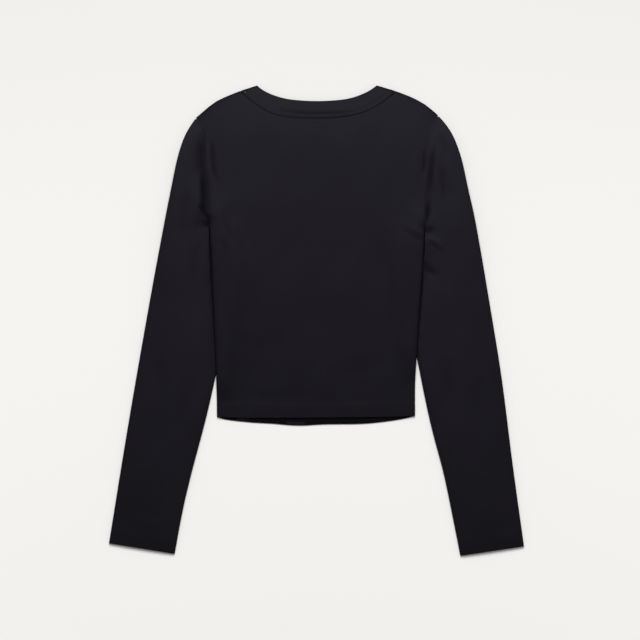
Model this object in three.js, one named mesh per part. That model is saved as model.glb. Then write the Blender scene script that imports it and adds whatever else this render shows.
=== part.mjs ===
import * as THREE from "three";
import { mergeVertices } from "three/addons/utils/BufferGeometryUtils.js";

// A long-sleeved crop top laid flat with its back up, in millimetres.
// +Y runs to the neck, +Z is up, and the origin is on the table under the middle of its outline.

// Cloth and how its layers lie
const wall = 1.2;
const seamGap = 0.3;
const foldRadius = 1.3;
const tuckRadius = 1.0;
const tuckLift = 3.5;
const tuckMargin = 6;
const tuckRamp = 26;
const tuckReach = 18;
const underarmFade = 45;
const contactFade = 28;
const hemRise = 0.3;
const capBlend = 16;
const shoulderShare = 0.18;
const shoulderSlant = 1.18;
const panelHeight = 430;
const capCrown = 1.4;
const crownRamp = 0.3;
const tuckClear = 2;
const rimClearance = 0.02;
const tipCurlShare = 1 / 6;
const mergeDistance = 1e-4;

// Neckband: two layers of jersey, with the seam allowance pressed into its outer strip
const bandWall = 1.8;
const bandRidge = 0.8;
const bandFoldRadius = 1.15;
const bandEdgeWall = 1.2;
const bandFoldGap = 0.4;
const bandRows = [0, 0.03, 0.34, 0.64, 0.7, 0.94, 1];
const bandRidgeRows = [0, 0, 0, 0, 1, 1, 0.3];

// Middle heights of the two layers, and the height of the folds between them
const frontLevel = wall / 2;
const backLevel = frontLevel + 2 * foldRadius;
const backBandLevel = backLevel;
const frontBandLevel = backBandLevel - 2 * bandFoldRadius;

// Edges of the left and right halves. Each table is a row per point: y, x.
const left = {
  sign: -1,
  contact: -79,
  underarm: 139.6,
  shoulderTip: 283.5,
  hemCorner: -135,
  side: [[-135, -139.3], [-79, -140.3], [-3, -144.1], [50, -146.3], [104, -148.5], [139.6, -150.8]],
  armhole: [
    [139.6, -150.8], [168.7, -140.7], [193.9, -139.3], [217.7, -142.1],
    [245.7, -147.7], [269.5, -156.1], [283.5, -168.7],
  ],
  outer: [
    [-311.5, -290.5], [-139.3, -262.5], [28.7, -233.1], [140.7, -212.1],
    [196.7, -200.9], [224.7, -195.3], [252.7, -186.9], [266.7, -179.9], [283.5, -168.7],
  ],
  inner: [
    [-326.2, -198.1], [-279.3, -189.7], [-251.3, -184.1], [-195.3, -170.1], [-139.3, -154.7],
    [-79, -141.2], [-41.3, -133.7], [0.7, -125.3], [49.7, -121.1], [84.7, -122.5],
    [108, -131], [119, -140.5], [127, -147.2], [133.6, -150.8],
  ],
};
const right = {
  sign: 1,
  contact: -55,
  underarm: 130.9,
  shoulderTip: 287,
  hemCorner: -133.5,
  side: [[-133.5, 137.9], [-83, 138.1], [-55, 139.8], [15, 144.2], [68, 148.5], [130.9, 151.6]],
  armhole: [
    [130.9, 151.6], [168.7, 147.7], [193.9, 146.3], [217.7, 146.3],
    [245.7, 149.1], [269.5, 157.5], [287, 170.1],
  ],
  outer: [
    [-315.7, 290.5], [-195.3, 273.7], [-83.3, 259.7], [28.7, 241.5], [140.7, 221.9],
    [196.7, 209.3], [224.7, 203.7], [252.7, 193.9], [266.7, 186.9], [287, 170.1],
  ],
  inner: [
    [-329, 200.9], [-307.3, 196.7], [-251.3, 185.5], [-209.3, 177.1], [-167.3, 164.5],
    [-111.3, 151.9], [-83.3, 146.3], [-55, 140.9], [-20, 134], [20, 128.5],
    [60, 127], [88, 131], [105, 140], [117, 148], [124, 151.7],
  ],
};

// Shoulders. Each table is a row per point: x, y.
const leftShoulder = [
  [-168.7, 283.5], [-158.9, 291.9], [-149.1, 300.3], [-136.5, 308.7], [-118.3, 317.1], [-106.4, 321.3],
];
const rightShoulder = [
  [109.9, 321.3], [122.5, 317.1], [140.7, 308.7], [154.7, 300.3], [164.5, 291.9], [170.1, 287],
];

// Neck seams and free neck edges, from the left shoulder to the right one. A row per point: x, y.
const backNeckSeam = [
  [-106.4, 321.3], [-100.1, 313.6], [-87, 303.5], [-76.3, 294.7], [-65.1, 289.1], [-51.1, 284.2],
  [-30.1, 282.1], [0, 281.3], [25.9, 282.1], [46.9, 284.9], [65.1, 289.1], [86.1, 299.6],
  [104, 313], [109.9, 321.3],
];
const backNeckEdge = [
  [-83.3, 329], [-76.3, 322.7], [-65.8, 317.1], [-50.4, 311.5], [-36.4, 308.7], [0, 306.4],
  [38.5, 308.7], [51.1, 311.5], [66.5, 317.1], [76.3, 322.7], [84.7, 329],
];
const frontNeckSeam = [
  [-106.4, 321.3], [-103, 300], [-86, 262], [-53, 233], [0, 224],
  [53, 233], [88, 262], [106, 300], [109.9, 321.3],
];
const frontNeckEdge = [
  [-83.3, 329], [-79.5, 309], [-66, 280], [-41, 257], [0, 249],
  [41, 257], [67, 280], [81, 309], [84.7, 329],
];

// Hems, from left to right. A row per point: x, y.
const backHem = [[-139.3, -135], [-100, -136], [0, -135.6], [100, -134.6], [137.9, -133.5]];
const frontHem = [
  [-139.3, -135], [-130, -138.2], [-90, -142.8], [-59, -144.4], [-26, -147.6],
  [8, -145.2], [58, -144.9], [92, -142.1], [125, -137], [137.9, -133.5],
];

// Where the rows and columns of the cloth run
const sideSteps = [0, 0.068, 0.073, 0.1, 0.15, 0.2, 0.29, 0.39, 0.51, 0.64, 0.77, 0.88, 0.96];
const capSteps = [0, 0.035, 0.085, 0.17, 0.28, 0.42, 0.56, 0.7, 0.82, 0.91, 0.96];
const sleeveTip = 0.985;
const shoulderDistances = [9, 18, 28, 40];
const backNeckSteps = [0, 0.035, 0.09, 0.17, 0.26, 0.36, 0.45, 0.55, 0.64, 0.74, 0.83, 0.91, 0.965, 1];
const frontNeckSteps = [0, 0.05, 0.11, 0.18, 0.26, 0.34, 0.42, 0.5, 0.58, 0.66, 0.74, 0.82, 0.89, 0.95, 1];
const topColumns = [0.1, 0.2, 0.3, 0.41, 0.53, 0.66, 0.79, 0.91];
const bottomColumns = [0.9, 0.65, 0.4, 0.22, 0.09];
const curlAngles = [0, 45, 90].map(THREE.MathUtils.degToRad);
const capCurl = [1, 0.45];

// Sleeves below the underarm. A row per section: y of the inner edge, how much higher the outer edge is,
// and the crown of the upper layer.
const leftSections = [
  [133.6, 1, 1.4], [127, 2, 1.4], [119, 3, 1.45], [108, 4, 1.5], [88, 4, 1.6], [62, 5, 1.7],
  [32, 6, 1.8], [-4, 7, 1.9], [-42, 8, 1.9], [-79, 9, 1.9], [-110, 10, 1.9], [-150, 11, 1.8],
  [-200, 12, 1.6], [-250, 13, 1.3], [-285, 14, 1.0], [-302.7, 14.4, 0.8],
  [-304.2, 14.4, 0.8], [-326.2, 14.7, 0.6],
];
const rightSections = [
  [124, 1, 1.4], [117, 2, 1.4], [105, 3, 1.45], [88, 4, 1.5], [66, 4, 1.6], [38, 5, 1.7],
  [4, 6, 1.8], [-28, 7, 1.9], [-55, 8, 1.9], [-84, 9, 1.9], [-116, 10, 1.9], [-160, 11, 1.8],
  [-208, 11, 1.6], [-252, 12, 1.3], [-286, 13, 1.0], [-305.5, 13.2, 0.8],
  [-307, 13.2, 0.8], [-329, 13.3, 0.6],
];

// Largest folds of the upper layer: the piece, two ends, depth (ridges are negative), width to either side
const folds = [
  { on: "sleeve", from: [-160, 258], to: [-160.5, 206], depth: 1.2, width: 6 },
  { on: "sleeve", from: [-160.5, 206], to: [-158, 166], depth: 1.4, width: 6 },
  { on: "sleeve", from: [158.5, 247], to: [159, 190], depth: 1.3, width: 6 },
  { on: "sleeve", from: [159, 190], to: [157, 152], depth: 1.1, width: 6 },
  { on: "sleeve", from: [174, 216], to: [186, 172], depth: 0.9, width: 8 },
  { on: "sleeve", from: [186, 172], to: [190, 139], depth: 0.6, width: 8 },
  { on: "sleeve", from: [158, 72], to: [176, 58], depth: 0.8, width: 8 },
  { on: "sleeve", from: [160, 105], to: [178, 97], depth: -0.5, width: 9 },
  { on: "body", from: [112, 128], to: [134, 118], depth: -0.5, width: 8 },
];

const materials = {
  jersey: { color: "#222127", roughness: 0.9, metalness: 0 },
  band: { color: "#26252b", roughness: 0.88, metalness: 0 },
};

const { clamp, lerp, smoothstep } = THREE.MathUtils;

// The value of a table at a position, on a smooth curve through its rows.
function valueAt(table, position) {
  const end = table.length - 1;
  let i = 0;
  while (i < end - 1 && position > table[i + 1][0]) i += 1;
  const slopeAt = (k) => {
    const before = table[Math.max(k - 1, 0)];
    const after = table[Math.min(k + 1, end)];
    return (after[1] - before[1]) / (after[0] - before[0]);
  };
  const span = table[i + 1][0] - table[i][0];
  const t = clamp((position - table[i][0]) / span, 0, 1);
  const rise = table[i + 1][1] - table[i][1];
  const startBend = slopeAt(i) * span - rise;
  const endBend = rise - slopeAt(i + 1) * span;
  return table[i][1] + t * rise + t * (1 - t) * ((1 - t) * startBend + t * endBend);
}

function curveThrough(points) {
  return new THREE.SplineCurve(points.map(([x, y]) => new THREE.Vector2(x, y)));
}

// Unit normals on the left of a run of points.
function leftNormals(points) {
  return points.map((point, i) => {
    const before = points[Math.max(i - 1, 0)];
    const after = points[Math.min(i + 1, points.length - 1)];
    const along = after.clone().sub(before).normalize();
    return new THREE.Vector2(-along.y, along.x);
  });
}

function moved(points, normals, distances) {
  return points.map((point, i) => point.clone().addScaledVector(normals[i], distances[i]));
}

// How far the sleeve reaches in under the side of the body.
function tuckWidthAt(half, y) {
  if (y < half.contact - 1 || y > half.underarm) return 0;
  return Math.max(0, (valueAt(half.side, y) - valueAt(half.inner, y)) * half.sign);
}

// How far the body is raised by the sleeve that is tucked under it.
function liftAt(half, x, y) {
  const edge = y < half.underarm ? valueAt(half.side, y) : valueAt(half.armhole, y);
  const inside = (edge - x) * half.sign;
  const start = Math.max(tuckWidthAt(half, y), tuckWidthAt(half, y - tuckReach)) + tuckMargin;
  const across = 1 - smoothstep(inside, start, start + tuckRamp);
  const above = 1 - smoothstep(y, half.underarm, half.underarm + underarmFade);
  const lowest = half.contact - tuckMargin;
  const below = smoothstep(y, lowest - contactFade, lowest);
  return tuckLift * across * above * below;
}

function bodyLift(x, y) {
  return liftAt(x < 0 ? left : right, x, y);
}

function foldDepth(piece, x, y) {
  const point = new THREE.Vector3(x, y, 0);
  let depth = 0;
  for (const fold of folds.filter(({ on }) => on === piece)) {
    const line = new THREE.Line3(new THREE.Vector3(...fold.from, 0), new THREE.Vector3(...fold.to, 0));
    const nearest = line.closestPointToPoint(point, true, new THREE.Vector3());
    const away = nearest.distanceTo(point) / fold.width;
    depth += fold.depth * Math.exp(-away * away);
  }
  return depth;
}

// Normals of a grid of points, on the side given by facing.
function gridNormals(grid, facing, closedRound) {
  const rows = grid.length;
  const columns = grid[0].length;
  return grid.map((row, i) => row.map((point, j) => {
    const previous = closedRound ? (j + columns - 1) % columns : Math.max(j - 1, 0);
    const next = closedRound ? (j + 1) % columns : Math.min(j + 1, columns - 1);
    const across = row[next].clone().sub(row[previous]);
    const along = grid[Math.min(i + 1, rows - 1)][j].clone().sub(grid[Math.max(i - 1, 0)][j]);
    return across.cross(along).normalize().multiplyScalar(facing);
  }));
}

// A closed wall of cloth on both sides of a grid. Rows from weldedFrom on meet at their two ends.
function clothWall(options) {
  const { grid, normals, outerDepth, innerDepth, facing } = options;
  const { closedRound = false, weldedFrom = Infinity } = options;
  const rows = grid.length;
  const columns = grid[0].length;
  const offset = (i, j, distance) => grid[i][j].clone().addScaledVector(normals[i][j], distance);
  const outer = grid.map((row, i) => row.map((point, j) => offset(i, j, outerDepth(i, j))));
  const inner = grid.map((row, i) => row.map((point, j) => offset(i, j, -innerDepth(i, j))));
  const corners = [];
  const addQuad = (a, b, c, d) => {
    const order = facing > 0 ? [a, b, c, a, c, d] : [a, c, b, a, d, c];
    for (const corner of order) corners.push(corner.x, corner.y, corner.z);
  };
  const lastColumn = closedRound ? columns : columns - 1;
  for (let i = 0; i < rows - 1; i += 1) {
    for (let j = 0; j < lastColumn; j += 1) {
      const k = (j + 1) % columns;
      addQuad(outer[i][j], outer[i][k], outer[i + 1][k], outer[i + 1][j]);
      addQuad(inner[i][j], inner[i + 1][j], inner[i + 1][k], inner[i][k]);
    }
    if (!closedRound && i < weldedFrom) {
      const e = columns - 1;
      addQuad(outer[i][0], outer[i + 1][0], inner[i + 1][0], inner[i][0]);
      addQuad(outer[i][e], inner[i][e], inner[i + 1][e], outer[i + 1][e]);
    }
  }
  for (let j = 0; j < lastColumn; j += 1) {
    const k = (j + 1) % columns;
    const e = rows - 1;
    addQuad(outer[0][j], inner[0][j], inner[0][k], outer[0][k]);
    addQuad(outer[e][j], outer[e][k], inner[e][k], inner[e][j]);
  }
  const loose = new THREE.BufferGeometry();
  loose.setAttribute("position", new THREE.Float32BufferAttribute(corners, 3));
  const geometry = mergeVertices(loose, mergeDistance);
  geometry.computeVertexNormals();
  return geometry;
}

function clothMesh(name, look, wallOptions) {
  const mesh = new THREE.Mesh(clothWall(wallOptions), new THREE.MeshStandardMaterial(look));
  mesh.name = name;
  return mesh;
}

// The seam between body and sleeve, from the underarm to the shoulder tip.
function armholePoint(half, step) {
  const y = lerp(half.underarm, half.shoulderTip, step);
  return new THREE.Vector2(valueAt(half.armhole, y), y);
}

// The inset of an edge from its seam line, for a rim that is turned by this share of a right angle.
function rimInset(curl) {
  return seamGap / 2 + (wall / 2 + rimClearance) * Math.sin((curl * Math.PI) / 2);
}

const curlSpread = curlAngles.map((angle) => 1 - Math.cos(angle));
const curlDrop = curlAngles.map((angle) => 1 - Math.sin(angle));
const capCurlAt = (step) => capCurl[capSteps.indexOf(step)] ?? 0;

// One edge of the body from the hem corner to the shoulder tip, moved in from its seam lines.
function bodyEdge(half) {
  const slantedRadius = shoulderSlant * foldRadius;
  const topSteps = curlSpread.map((spread) => 1 - (spread * slantedRadius) / panelHeight).reverse();
  const underarmStep = (half.underarm - half.hemCorner) / (half.shoulderTip - half.hemCorner);
  const rows = [];
  for (const step of sideSteps) rows.push({ share: step * underarmStep, curl: 1 });
  for (const step of capSteps) rows.push({ share: lerp(underarmStep, 1, step), curl: capCurlAt(step) });
  for (const share of topSteps) rows.push({ share, curl: 0 });
  const points = rows.map(({ share }) => {
    const y = lerp(half.hemCorner, half.shoulderTip, share);
    const table = y < half.underarm ? half.side : half.armhole;
    return new THREE.Vector2(valueAt(table, y), y);
  });
  const normals = leftNormals(points);
  const distances = rows.map(({ curl }, i) => (i < sideSteps.length ? wall / 2 : rimInset(curl)) * half.sign);
  return {
    shares: rows.map(({ share }) => share),
    curls: rows.map(({ curl }) => curl),
    points: moved(points, normals, distances),
    outward: normals.map((normal) => normal.clone().multiplyScalar(-half.sign)),
  };
}

// The top edge of a panel: left shoulder, neck seam, right shoulder.
function panelTop(neckSeam, neckSteps) {
  const nearTip = curlSpread.map((spread) => spread * shoulderSlant * foldRadius);
  const distances = [...nearTip, ...shoulderDistances];
  const leftX = distances.map((distance) => leftShoulder[0][0] + distance);
  const rightX = distances.map((distance) => rightShoulder.at(-1)[0] - distance).reverse();
  const onShoulder = (table) => (x) => new THREE.Vector2(x, valueAt(table, x));
  const curve = curveThrough(neckSeam);
  const shoulderLeft = leftX.map(onShoulder(leftShoulder));
  const neck = neckSteps.map((step) => curve.getPointAt(step));
  const shoulderRight = rightX.map(onShoulder(rightShoulder));
  const leftRun = [...shoulderLeft, neck[0]];
  const rightRun = [neck.at(-1), ...shoulderRight];
  const shoulderInset = -wall / 2;
  const neckInset = -seamGap / 2;
  const leftNormal = leftNormals(leftRun);
  const neckNormal = leftNormals(neck);
  const rightNormal = leftNormals(rightRun);
  const points = [
    ...moved(leftRun, leftNormal, leftRun.map(() => shoulderInset)),
    ...moved(neck.slice(1, -1), neckNormal.slice(1, -1), neck.slice(1, -1).map(() => neckInset)),
    ...moved(rightRun, rightNormal, rightRun.map(() => shoulderInset)),
  ];
  const cornerLeft = shoulderLeft.length;
  const cornerRight = cornerLeft + neck.length - 1;
  points[cornerLeft].addScaledVector(neckNormal[0], neckInset);
  points[cornerRight].addScaledVector(neckNormal.at(-1), neckInset);
  return {
    points,
    outward: [...leftNormal, ...neckNormal.slice(1, -1), ...rightNormal],
    curls: points.map((point, j) => (j <= cornerLeft || j >= cornerRight ? 1 : 0)),
  };
}

// A body panel between its four edges. Side seams and shoulders curl to the middle height.
function bodyPanel({ name, look, neckSeam, neckSteps, hem, level, facing }) {
  const top = panelTop(neckSeam, neckSteps);
  const leftSide = bodyEdge(left);
  const rightSide = bodyEdge(right);
  const lastRow = leftSide.points.length - 1;
  const lastColumn = top.points.length - 1;
  leftSide.points[lastRow] = top.points[0].clone();
  rightSide.points[lastRow] = top.points[lastColumn].clone();
  const topWidth = top.points[lastColumn].x - top.points[0].x;
  const acrossShare = top.points.map((point) => (point.x - top.points[0].x) / topWidth);
  const hemLeft = leftSide.points[0];
  const hemRight = rightSide.points[0];
  const bottom = acrossShare.map((share) => {
    const x = lerp(hemLeft.x, hemRight.x, share);
    const shift = lerp(hemLeft.y - hem[0][1], hemRight.y - hem.at(-1)[1], share);
    return new THREE.Vector2(x, valueAt(hem, x) + shift);
  });
  bottom[0].copy(hemLeft);
  bottom[lastColumn].copy(hemRight);

  // Rows run straight from hem to top, and near the sides they follow the bow of the side edges.
  const heights = leftSide.shares.map((share, i) => lerp(share, rightSide.shares[i], 0.5));
  const bow = (points, low, high) => {
    return points.map((point, i) => point.clone().sub(low.clone().lerp(high, heights[i])));
  };
  const leftBow = bow(leftSide.points, bottom[0], top.points[0]);
  const rightBow = bow(rightSide.points, bottom[lastColumn], top.points[lastColumn]);
  const flat = heights.map((v, i) => {
    return top.points.map((topPoint, j) => {
      const fromLeft = 1 - smoothstep(acrossShare[j], 0, shoulderShare);
      const fromRight = smoothstep(acrossShare[j], 1 - shoulderShare, 1);
      return bottom[j].clone().lerp(topPoint, v)
        .addScaledVector(leftBow[i], fromLeft)
        .addScaledVector(rightBow[i], fromRight);
    });
  });

  const dropAt = (i, j) => {
    const fromLeft = curlDrop[j] ?? 0;
    const fromRight = curlDrop[lastColumn - j] ?? 0;
    const fromTop = curlDrop[lastRow - i] ?? 0;
    const sideways = fromLeft * leftSide.curls[i] + fromRight * rightSide.curls[i];
    return foldRadius * Math.min(1, sideways + fromTop * top.curls[j]);
  };
  const seamHalf = seamGap / 2;
  const grid = flat.map((row, i) => row.map((point, j) => {
    const drop = Math.min(dropAt(i, j), foldRadius - seamHalf);
    const fold = facing > 0 ? foldDepth("body", point.x, point.y) : 0;
    return new THREE.Vector3(point.x, point.y, level + bodyLift(point.x, point.y) - facing * drop - fold);
  }));
  const normals = gridNormals(grid, facing, false);
  const turnRim = (i, j, outward, curl) => {
    if (!curl) return;
    const turn = (curl * Math.PI) / 2;
    normals[i][j].set(outward.x * Math.sin(turn), outward.y * Math.sin(turn), facing * Math.cos(turn));
  };
  for (let i = 0; i < lastRow; i += 1) {
    turnRim(i, 0, leftSide.outward[i], leftSide.curls[i]);
    turnRim(i, lastColumn, rightSide.outward[i], rightSide.curls[i]);
  }
  for (let j = 0; j <= lastColumn; j += 1) turnRim(lastRow, j, top.outward[j], top.curls[j]);
  const hemmed = (i) => (i < 2 ? hemRise : 0);
  return clothMesh(name, look, {
    grid,
    normals,
    facing,
    outerDepth: (i) => wall / 2 + (facing > 0 ? hemmed(i) : 0),
    innerDepth: (i) => wall / 2 + (facing > 0 ? 0 : hemmed(i)),
  });
}

// A sleeve of cross-sections from the shoulder tip to the cuff, open along the armhole.
function sleeve({ name, look, half, sections }) {
  const sleeveSteps = [sleeveTip, ...capSteps.toReversed()];
  const seamPoints = sleeveSteps.map((step) => armholePoint(half, step));
  const seamOutward = leftNormals(seamPoints).map((normal) => normal.multiplyScalar(half.sign));
  const rows = seamPoints.map((seamPoint, i) => {
    const curl = capCurlAt(sleeveSteps[i]);
    const inset = rimInset(curl) + (curl === 1 ? seamGap / 2 : 0);
    const lift = liftAt(half, seamPoint.x, seamPoint.y);
    return {
      inner: seamPoint.clone().addScaledVector(seamOutward[i], inset),
      outer: new THREE.Vector2(valueAt(half.outer, seamPoint.y), seamPoint.y),
      curl,
      upper: backLevel + lift,
      lower: frontLevel + lift,
      crown: capCrown * (1 - sleeveSteps[i]) * smoothstep(1 - sleeveSteps[i], 0, crownRamp),
      tuckWidth: 0,
    };
  });
  for (const [y, tilt, crown] of sections) {
    const innerX = valueAt(half.inner, y);
    const outerY = y + tilt;
    const tucked = y > half.contact - 1;
    const inward = new THREE.Vector2(half.sign * (wall / 2), 0);
    rows.push({
      inner: new THREE.Vector2(innerX, y).add(inward),
      outer: new THREE.Vector2(valueAt(half.outer, outerY), outerY),
      curl: 1,
      upper: tucked ? frontLevel + 2 * tuckRadius : backLevel,
      lower: frontLevel,
      crown,
      tuckWidth: tuckWidthAt(half, y),
    });
  }
  const lastSection = rows.length - 1;
  const grid = rows.map((row) => {
    const away = row.outer.clone().sub(row.inner);
    const width = away.length() - wall / 2;
    away.normalize();
    const innerRadius = (row.upper - row.lower) / 2;
    const upperAt = (s) => {
      const shown = clamp((s - row.tuckWidth) / (width - row.tuckWidth), 0, 1);
      const own = backLevel + row.crown * Math.sin(Math.PI * shown);
      const start = row.tuckWidth ? row.tuckWidth + tuckClear : 0;
      return lerp(row.upper, own, smoothstep(s, start, start + capBlend));
    };
    const lowerAt = (s) => lerp(row.lower, frontLevel, smoothstep(s, 0, capBlend));
    const place = (s, z, folded) => {
      const x = row.inner.x + away.x * s;
      const y = row.inner.y + away.y * s;
      const visible = folded && s > row.tuckWidth + tuckClear;
      return new THREE.Vector3(x, y, z - (visible ? foldDepth("sleeve", x, y) : 0));
    };
    const innerSpread = row.curl > 0 ? innerRadius : Math.min(innerRadius, width * tipCurlShare);
    const outerSpread = Math.min(foldRadius, width / 2);
    const middle = width - outerSpread - innerSpread;
    const upper = [];
    const lower = [];
    curlAngles.forEach((angle, k) => {
      const s = innerSpread * curlSpread[k];
      const drop = row.curl * innerRadius * curlDrop[k];
      upper.push(place(s, upperAt(s) - drop, false));
      lower.push(place(s, lowerAt(s) + drop, false));
    });
    for (const share of topColumns) {
      const s = innerSpread + middle * share;
      upper.push(place(s, upperAt(s), true));
    }
    const [edgeAt, bendAt, flatAt] = curlSpread.map((spread) => width - outerSpread * spread);
    const bendDrop = foldRadius * curlDrop[1];
    upper.push(place(flatAt, upperAt(flatAt), false));
    upper.push(place(bendAt, upperAt(bendAt) - bendDrop, false));
    upper.push(place(edgeAt, frontLevel + foldRadius, false));
    const bottom = [place(bendAt, frontLevel + bendDrop, false), place(flatAt, frontLevel, false)];
    for (const share of bottomColumns) {
      const s = innerSpread + middle * share;
      bottom.push(place(s, lowerAt(s), false));
    }
    return [...upper, ...bottom, ...lower.reverse()];
  });
  const facing = -half.sign;
  const lastColumn = grid[0].length - 1;
  const normals = gridNormals(grid, facing, false);
  rows.forEach((row, i) => {
    if (!row.curl) return;
    const turn = (row.curl * Math.PI) / 2;
    const inward = row.inner.clone().sub(row.outer).normalize().multiplyScalar(Math.sin(turn));
    normals[i][0].set(inward.x, inward.y, Math.cos(turn));
    normals[i][lastColumn].set(inward.x, inward.y, -Math.cos(turn));
  });
  const upperColumns = curlAngles.length + topColumns.length + 1;
  const hemmed = (i) => (i > lastSection - 2 ? hemRise : 0);
  return clothMesh(name, look, {
    grid,
    normals,
    facing,
    weldedFrom: sleeveSteps.length - 1,
    outerDepth: (i, j) => wall / 2 + (j > 1 && j < upperColumns ? hemmed(i) : 0),
    innerDepth: (i, j) => wall / 2 + (j > upperColumns + 2 && j < lastColumn - 1 ? hemmed(i) : 0),
  });
}

// The neckband: a ring of doubled cloth that folds over at both shoulders.
function neckband({ name, look }) {
  const arc = (seam, edge, steps, level, ridge) => {
    const seamCurve = curveThrough(seam);
    const edgeCurve = curveThrough(edge);
    const seamPoints = steps.map((step) => seamCurve.getPointAt(step));
    const normals = leftNormals(seamPoints);
    return steps.map((step, i) => ({
      seam: seamPoints[i].clone().addScaledVector(normals[i], seamGap / 2),
      edge: edgeCurve.getPointAt(step),
      z: level,
      ridge,
    }));
  };
  const back = arc(backNeckSeam, backNeckEdge, backNeckSteps, backBandLevel, 1);
  const front = arc(frontNeckSeam, frontNeckEdge, frontNeckSteps, frontBandLevel, 0);
  const foldHeight = (backBandLevel + frontBandLevel) / 2;

  // Columns of one arc near a shoulder fold, slid along the arc from the fold line.
  const foldColumns = (columns, ends) => {
    const [corner, next] = ends;
    const foldLine = corner.edge.clone().sub(corner.seam).normalize();
    const inward = new THREE.Vector2(foldLine.y, -foldLine.x);
    if (inward.y > 0) inward.negate();
    const slide = (from, to, distance) => {
      const along = to.clone().sub(from).normalize();
      return from.clone().addScaledVector(along, distance / along.dot(inward));
    };
    return curlAngles.map((angle, k) => {
      const distance = bandWall / 2 + bandFoldRadius * curlSpread[k];
      const towardEdge = foldLine.clone().multiplyScalar(bandFoldGap * (1 - k / 2));
      return {
        seam: slide(corner.seam, next.seam, distance).add(towardEdge),
        edge: slide(corner.edge, next.edge, distance),
        z: lerp(corner.z, foldHeight, curlDrop[k]),
        ridge: corner.ridge * (k / 2),
        outward: k === 0 ? inward.clone().negate() : null,
      };
    });
  };
  const backLeft = foldColumns(back, [back[0], back[1]]);
  const backRight = foldColumns(back, [back.at(-1), back.at(-2)]).reverse();
  const frontLeft = foldColumns(front, [front[0], front[1]]);
  const frontRight = foldColumns(front, [front.at(-1), front.at(-2)]).reverse();
  const round = [
    ...backLeft,
    ...back.slice(1, -1),
    ...backRight,
    ...frontRight.toReversed().slice(1),
    ...front.slice(1, -1).toReversed(),
    ...frontLeft.toReversed().slice(0, -1),
  ];
  const grid = bandRows.map((share) => round.map(({ seam, edge, z }) => {
    const point = edge.clone().lerp(seam, share);
    return new THREE.Vector3(point.x, point.y, z);
  }));
  const facing = -1;
  const normals = gridNormals(grid, facing, true);
  round.forEach(({ outward }, j) => {
    if (!outward) return;
    for (const row of normals) row[j].set(outward.x, outward.y, 0);
  });
  const halfWall = (i) => (i === 0 ? bandEdgeWall : bandWall) / 2;
  return clothMesh(name, look, {
    grid,
    normals,
    facing,
    closedRound: true,
    outerDepth: (i, j) => halfWall(i) + bandRidge * bandRidgeRows[i] * round[j].ridge,
    innerDepth: halfWall,
  });
}

const top = new THREE.Group();
top.name = "crop_top";
top.add(bodyPanel({
  name: "back_panel",
  look: materials.jersey,
  neckSeam: backNeckSeam,
  neckSteps: backNeckSteps,
  hem: backHem,
  level: backLevel,
  facing: 1,
}));
top.add(bodyPanel({
  name: "front_panel",
  look: materials.jersey,
  neckSeam: frontNeckSeam,
  neckSteps: frontNeckSteps,
  hem: frontHem,
  level: frontLevel,
  facing: -1,
}));
top.add(sleeve({ name: "sleeve_left", look: materials.jersey, half: left, sections: leftSections }));
top.add(sleeve({ name: "sleeve_right", look: materials.jersey, half: right, sections: rightSections }));
top.add(neckband({ name: "neckband", look: materials.band }));

export default top;
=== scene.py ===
# A plain black long-sleeved crop top laid flat with its back up
import math
import random

import bmesh
import bpy
import numpy as np
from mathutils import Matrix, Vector
from mathutils.bvhtree import BVHTree


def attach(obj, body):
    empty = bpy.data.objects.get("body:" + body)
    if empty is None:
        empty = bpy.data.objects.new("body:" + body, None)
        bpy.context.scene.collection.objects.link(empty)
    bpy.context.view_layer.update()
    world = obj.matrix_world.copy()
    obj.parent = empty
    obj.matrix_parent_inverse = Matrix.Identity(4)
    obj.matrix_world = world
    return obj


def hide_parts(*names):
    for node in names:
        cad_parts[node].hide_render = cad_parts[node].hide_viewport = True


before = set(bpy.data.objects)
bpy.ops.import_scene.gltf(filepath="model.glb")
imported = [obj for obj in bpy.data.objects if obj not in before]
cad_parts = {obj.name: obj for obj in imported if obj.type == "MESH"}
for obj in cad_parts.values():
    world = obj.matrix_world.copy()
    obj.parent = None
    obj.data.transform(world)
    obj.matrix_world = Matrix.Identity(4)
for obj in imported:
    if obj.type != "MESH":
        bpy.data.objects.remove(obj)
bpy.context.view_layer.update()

mm = 0.001
print("frame loaded:", sorted(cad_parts))


# Camera, floor and light

cameraSettings = {
    "height": 2.6,  # above the floor, looking straight down
    "frameWidth": 0.896,  # what the picture's 640 pixels take in
    "centre": (0.0049, 0.0007),
    "sensor": 36.0,
}


def makeCamera(settings):
    camera = bpy.data.cameras.new("overheadCamera")
    camera.sensor_width = settings["sensor"]
    camera.lens = settings["sensor"] * settings["height"] / settings["frameWidth"]
    holder = bpy.data.objects.new("overheadCamera", camera)
    holder.location = (*settings["centre"], settings["height"])
    bpy.context.scene.collection.objects.link(holder)
    bpy.context.scene.camera = holder


makeCamera(cameraSettings)
print("camera made")

lightSettings = {
    "worldColour": (1.0, 0.995, 0.985),
    "worldStrength": 0.31,
    "lamps": {
        # name: place, size, watts, where it points
        "neckSideSoftbox": ((0.0, 1.15, 2.1), 1.3, 56, (0, 0.05, 0)),
    },
}


def makeLights(settings):
    world = bpy.data.worlds.new("studioWorld")
    world.use_nodes = True
    background = world.node_tree.nodes["Background"]
    background.inputs["Color"].default_value = (*settings["worldColour"], 1)
    background.inputs["Strength"].default_value = settings["worldStrength"]
    bpy.context.scene.world = world
    for name, (place, size, watts, target) in settings["lamps"].items():
        lamp = bpy.data.lights.new(name, "AREA")
        lamp.shape = "SQUARE"
        lamp.size = size
        lamp.energy = watts
        holder = bpy.data.objects.new(name, lamp)
        holder.location = place
        holder.rotation_euler = (Vector(target) - Vector(place)).to_track_quat("-Z", "Y").to_euler()
        bpy.context.scene.collection.objects.link(holder)


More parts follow.
